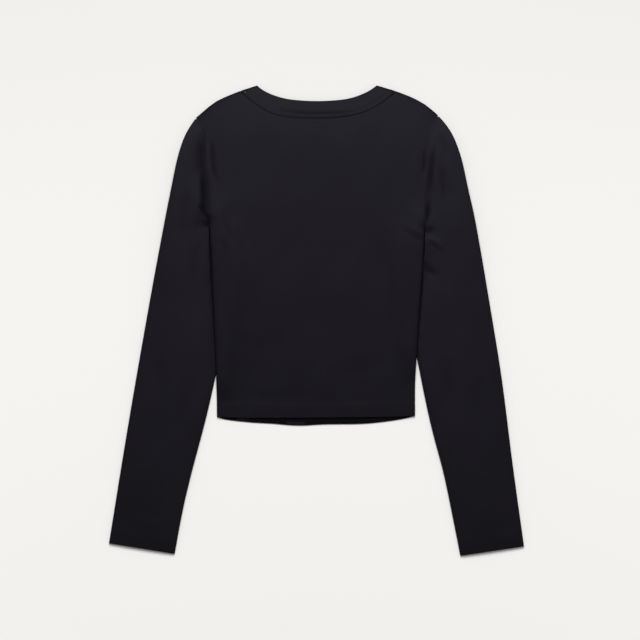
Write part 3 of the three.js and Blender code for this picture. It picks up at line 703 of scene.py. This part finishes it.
def upperHeight(points, part, settings=upperLayer):
    # One field for the whole upper layer, so that sewn edges move together
    distances = {name: np.abs(alongRun(points, edgeRuns[name])[0]) for name in roundedEdges[part]}
    height = np.full(len(points), settings["roundHeight"] * mm)
    for name, (lost, reach) in roundedEdges[part].items():
        height *= 1 - lost * (1 - comesBack(distances[name], reach))
    toShoulder = np.minimum(distances["leftShoulder"], distances["rightShoulder"])
    lean = comesBack(toShoulder, settings["leanReach"])
    lean *= 1 - smoothStep(toShoulder, settings["leanTop"] * mm, settings["leanEnd"] * mm)
    if "neck" in distances:
        lean *= 1 - settings["neckLost"] * (1 - comesBack(distances["neck"], settings["neckReach"]))
    height += settings["leanHeight"] * mm * lean
    folded = [distances[name] for name in distances if name not in ("hem", "neck")]
    calm = comesBack(np.min(folded, axis=0), settings["calmReach"])
    folds = slowWaves(points)
    for crease in creases:
        if part in crease["on"]:
            folds = folds + creaseHeight(points, crease)
    height += calm * folds
    if part == "rightSleeve":
        bridge = settings["foldBridge"]
        away = np.linalg.norm(points[:, :2] - np.array(bridge["place"]) * mm, axis=1) / (bridge["reach"] * mm)
        height += bridge["height"] * mm * np.exp(-away ** 2)
    for side in ("leftSide", "rightSide"):
        underarm = np.array(edgeRuns[side][0]) * mm
        away = np.linalg.norm(points[:, :2] - underarm, axis=1)
        height *= 1 - settings["underarmLost"] * (1 - comesBack(away, settings["underarmReach"]))
    return height


refineSettings = {
    "narrow": 5.0,  # creases up to this width need finer faces
    "reach": 3.2,  # widths on each side of the run
    "above": 2.3,  # only the upper layer, which starts at this height
}


def refineCreases(piece, parts, settings=refineSettings):
    # Splits the upper faces near narrow creases
    points = readPoints(piece.data, "co")
    near = np.zeros(len(points), bool)
    for crease in creases:
        widths = crease["width"] if isinstance(crease["width"], tuple) else (crease["width"],)
        if min(widths) > settings["narrow"] or not set(parts) & set(crease["on"]):
            continue
        reach = settings["reach"] * min(max(widths), settings["narrow"]) * mm
        near |= np.abs(alongRun(points, crease["along"])[0]) < reach
    near &= points[:, 2] > settings["above"] * mm
    shape = bmesh.new()
    shape.from_mesh(piece.data)
    edges = [edge for edge in shape.edges if all(near[vert.index] for vert in edge.verts)]
    bmesh.ops.subdivide_edges(shape, edges=edges, cuts=1, use_grid_fill=True, smooth=0)
    shape.to_mesh(piece.data)
    shape.free()


def settleCloth(piece, pieceName, spec):
    # Moves the upper layer by its field and presses the lower one up a little in its troughs
    refineCreases(piece, spec["parts"])
    mesh = piece.data
    points = readPoints(mesh, "co")
    fold = foldMask(points, spec["parts"][-1])
    upward = readPoints(mesh, "normal")[:, 2] > 0
    part = spec["parts"][0]
    if spec["topFrom"]:
        top = smoothStep(points[:, 2], spec["topFrom"][0] * mm, spec["topFrom"][1] * mm)
    else:
        top = np.zeros(len(points))
    raised = upperHeight(points, part)
    if "neckband" in spec["parts"]:
        raised += sum(creaseHeight(points, crease) for crease in creases if "neckband" in crease["on"])
    if part != "body":
        side = -1 if part == "leftSleeve" else 1
        raised *= 1 - underBody(points, side)
        tuckUnderarm(points, side)
    lowest = np.where(upward, spec["lowest"] + shellSettings["wall"], spec["lowest"]) * mm
    raised = np.maximum(raised, np.minimum(0, lowest - points[:, 2]))
    pressed = np.zeros(len(points))
    for crease in underCreases.get(pieceName, []):
        pressed -= creaseHeight(points, crease)
    points[:, 2] += top * raised + (1 - top) * np.maximum(pressed, 0)
    mesh.vertices.foreach_set("co", points.reshape(-1))
    mesh.update()
    mesh.attributes.new("fold", "FLOAT", "POINT").data.foreach_set("value", (fold * top * upward).astype("f"))


clothPieces = {
    # parts: whose creases it takes
    # topFrom: heights in millimetres between which the upper layer begins
    # lowest: the upper layer's underside comes no lower than this
    "backPanel": {
        "node": "back_panel", "look": "blackJersey", "slot": "black_jersey",
        "flat": (0.3388, 0.4572), "area": 0.1275, "restsOn": ["frontPanel"],
        "parts": ("body",), "topFrom": (-10, -9), "lowest": 1.3,
    },
    "frontPanel": {
        "node": "front_panel", "look": "blackJersey", "slot": "black_jersey",
        "flat": (0.3388, 0.4690), "area": 0.1196, "restsOn": [],
        "parts": ("body",), "topFrom": None, "lowest": 0,
    },
    "leftSleeve": {
        "node": "sleeve_left", "look": "leftSleeveJersey", "slot": "black_jersey",
        "flat": (0.25, 0.61), "area": 0.1095, "restsOn": [],
        "parts": ("leftSleeve",), "topFrom": (1.9, 3.0), "lowest": 1.3,
    },
    "rightSleeve": {
        "node": "sleeve_right", "look": "rightSleeveJersey", "slot": "black_jersey",
        "flat": (0.25, 0.615), "area": 0.1125, "restsOn": [],
        "parts": ("rightSleeve",), "topFrom": (1.9, 3.0), "lowest": 1.3,
    },
    "neckband": {
        "node": "neckband", "look": "neckbandJersey", "slot": "neckband_jersey",
        "flat": (0.54, 0.0255), "area": 0.0133, "restsOn": ["frontPanel"],
        "parts": ("body", "neckband"), "topFrom": (1.9, 2.3), "lowest": 1.4,
    },
}

# Two short patches of the front hem's inside keep the brighter outer jersey, as painted highlights where the
# hem catches the light: middle and half size in millimetres
hemHighlightPatches = [((-30, -144.4), (13, 3.6)), ((-102, -137.6), (10, 1.8))]
facesUp = 0.3  # upward share of a face's normal from which it counts as the front panel's inside


def onHemHighlightPatch(place):
    return any(
        ((place.x / mm - x) / halfLength) ** 2 + ((place.y / mm - y) / halfWidth) ** 2 < 1
        for (x, y), (halfLength, halfWidth) in hemHighlightPatches
    )


finishedCloth = {}
for pieceName, spec in clothPieces.items():
    shell = clothShell(spec["node"], pieceName + "Cloth")
    settleCloth(shell, pieceName, spec)
    shell.data.materials.append(jerseys[spec["look"]])
    if pieceName == "frontPanel":
        # what shows of the front panel from above is the cloth's duller inner side; its darker colour is also
        # painted shade for the shadow under the back hem
        shell.data.materials.append(jerseys["insideJerseyPaintedShade"])
        # faces in the painted highlight patches keep the outer jersey
        for face in shell.data.polygons:
            face.material_index = 1 if face.normal.z > facesUp and not onHemHighlightPatch(face.center) else 0
    selectOnly(shell)
    bpy.ops.object.shade_smooth_by_angle(angle=shellSettings["smoothAngle"])
    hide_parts(spec["node"])
    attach(shell, "root")
    finishedCloth[pieceName] = shell
    print("cloth made:", pieceName, len(shell.data.polygons), "faces")


# Stitching

stitchSettings = {
    "length": 2.5, "gap": 0.7, "thread": 0.17, "sides": 6, "rowGap": 4.0,
    "uneven": (0.92, 1.08), "smoothAngle": math.radians(60),
    "sunk": 0.05,  # how deep the thread's middle line lies in the cloth, millimetres
}


def surfaceOf(piece):
    shape = bmesh.new()
    shape.from_mesh(piece.data)
    tree = BVHTree.FromBMesh(shape)
    shape.free()
    return tree


def dropOnto(tree, x, y, fromBelow=False, clear=0.05):
    start = Vector((x, y, -clear if fromBelow else clear))
    way = Vector((0, 0, 1 if fromBelow else -1))
    place, normal, _, _ = tree.ray_cast(start, way)
    return place, normal


# Rings of one stitch: share of its length, height and girth in thread radii
stitchRings = ((0, -1.1, 0.25), (0.12, -0.1, 0.8), (0.5, 0.25, 1), (0.88, -0.1, 0.8), (1, -1.1, 0.25))


def addStitch(shape, start, end, normal, thread, sides):
    # One visible length of thread: round, full in the middle, dipping into the cloth at both ends
    along = (end - start).normalized()
    across = along.cross(normal).normalized()
    up = across.cross(along)
    rings = []
    for share, rise, girth in stitchRings:
        centre = start.lerp(end, share) + up * thread * rise
        ring = []
        for k in range(sides):
            angle = 2 * math.pi * k / sides
            outward = across * math.cos(angle) + up * math.sin(angle)
            ring.append(shape.verts.new(centre + outward * thread * girth))
        rings.append(ring)
    for ring, following in zip(rings, rings[1:]):
        for k in range(sides):
            shape.faces.new((ring[k], following[k], following[(k + 1) % sides], ring[(k + 1) % sides]))
    shape.faces.new(rings[0])
    shape.faces.new(list(reversed(rings[-1])))


def walk(path, spacing):
    # Even steps along a run of points
    points = [Vector(point) for point in path]
    total = sum((b - a).length for a, b in zip(points, points[1:]))
    count = max(int(total / spacing), 1)
    found = []
    for step in range(count + 1):
        target = total * step / count
        passed = 0.0
        for a, b in zip(points, points[1:]):
            length = (b - a).length
            if target <= passed + length or b is points[-1]:
                found.append(a.lerp(b, min(max((target - passed) / length, 0), 1)))
                break
            passed += length
    return found


def stitchRows(name, rows, carrier, material, settings=stitchSettings, fromBelow=False):
    tree = surfaceOf(carrier)
    shape = bmesh.new()
    source = random.Random(len(name))
    share = settings["length"] / (settings["length"] + settings["gap"])
    for row in rows:
        steps = walk([(x * mm, y * mm) for x, y in row], (settings["length"] + settings["gap"]) * mm)
        for here, there in zip(steps, steps[1:]):
            end = here.lerp(there, share)
            startPlace, startNormal = dropOnto(tree, here.x, here.y, fromBelow)
            endPlace, _ = dropOnto(tree, end.x, end.y, fromBelow)
            if startPlace is None or endPlace is None:
                continue
            if (startPlace - endPlace).length > 2 * settings["length"] * mm:
                continue  # it would jump off an edge
            thread = settings["thread"] * mm * source.uniform(*settings["uneven"])
            sink = startNormal * settings["sunk"] * mm
            addStitch(shape, startPlace - sink, endPlace - sink, startNormal, thread, settings["sides"])
    bmesh.ops.recalc_face_normals(shape, faces=shape.faces)
    mesh = bpy.data.meshes.new(name)
    shape.to_mesh(mesh)
    shape.free()
    piece = bpy.data.objects.new(name, mesh)
    bpy.context.scene.collection.objects.link(piece)
    mesh.materials.append(material)
    selectOnly(piece)
    bpy.ops.object.shade_smooth_by_angle(angle=settings["smoothAngle"])
    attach(piece, "root")
    print("stitching made:", name, len(mesh.polygons), "faces")
    return piece


def risenRow(path, up, inset):
    # The same run moved up the garment, its ends drawn in from the folded sides
    first, last = Vector(path[0]), Vector(path[-1])
    way = (last - first).normalized()
    rise = Vector((-way.y, way.x)) * up
    row = [Vector(point) + rise for point in path]
    row[0] += way * inset
    row[-1] -= way * inset
    return [tuple(point) for point in row]


def twinRows(path, up, inset):
    gap = stitchSettings["rowGap"] / 2
    return [risenRow(path, up - gap, inset), risenRow(path, up + gap, inset)]


frontHem = [(-139.3, -135), (-90, -142.8), (-26, -147.6), (58, -144.9), (137.9, -133.5)]
hemRows = [
    # stitching, its cloth, the edge, millimetres up from it and in from the folded sides, and if underneath
    ("backHemStitching", "backPanel", edgeRuns["hem"], 17.5, 2.2, False),
    ("frontHemStitching", "frontPanel", frontHem, 17.5, 4, True),
    ("leftCuffStitching", "leftSleeve", edgeRuns["leftCuff"], 20, 3.5, False),
    ("leftCuffUnderStitching", "leftSleeve", edgeRuns["leftCuff"], 20, 3.5, True),
    ("rightCuffStitching", "rightSleeve", edgeRuns["rightCuff"], 20, 3.5, False),
    ("rightCuffUnderStitching", "rightSleeve", edgeRuns["rightCuff"], 20, 3.5, True),
]
sewing = {pieceName: [] for pieceName in clothPieces}
for stitchingName, pieceName, edge, up, inset, underneath in hemRows:
    sewing[pieceName].append(stitchRows(
        stitchingName, twinRows(edge, up, inset), finishedCloth[pieceName], threads["blackThread"],
        fromBelow=underneath))

tackSettings = {"from": (-13.3, 275.2), "to": (-0.7, 275.9), "throw": 1.0, "stitches": 13}


def zigzag(settings):
    start, end = Vector(settings["from"]), Vector(settings["to"])
    rows = []
    for k in range(settings["stitches"]):
        low = start.lerp(end, k / settings["stitches"])
        high = start.lerp(end, (k + 1) / settings["stitches"])
        lift = Vector((0, settings["throw"]))
        rows.append([tuple(low), tuple(high + lift)] if k % 2 == 0 else [tuple(low + lift), tuple(high)])
    return rows


tackThread = {**stitchSettings, "length": 1.35, "gap": 0.1, "thread": 0.2, "sunk": 0.0}
sewing["backPanel"].append(stitchRows(
    "labelTack", zigzag(tackSettings), finishedCloth["backPanel"], threads["blackThread"], tackThread))

# A pale end of thread sticks out at the left end of the neckband
threadEnd = [[(-99.9, 318.4), (-99.0, 319.4)]]
paleThread = {**stitchSettings, "length": 1.2, "gap": 0.1, "thread": 0.3, "sunk": -0.1}
sewing["neckband"].append(stitchRows(
    "threadEnd", threadEnd, finishedCloth["neckband"], threads["paleThread"], paleThread))
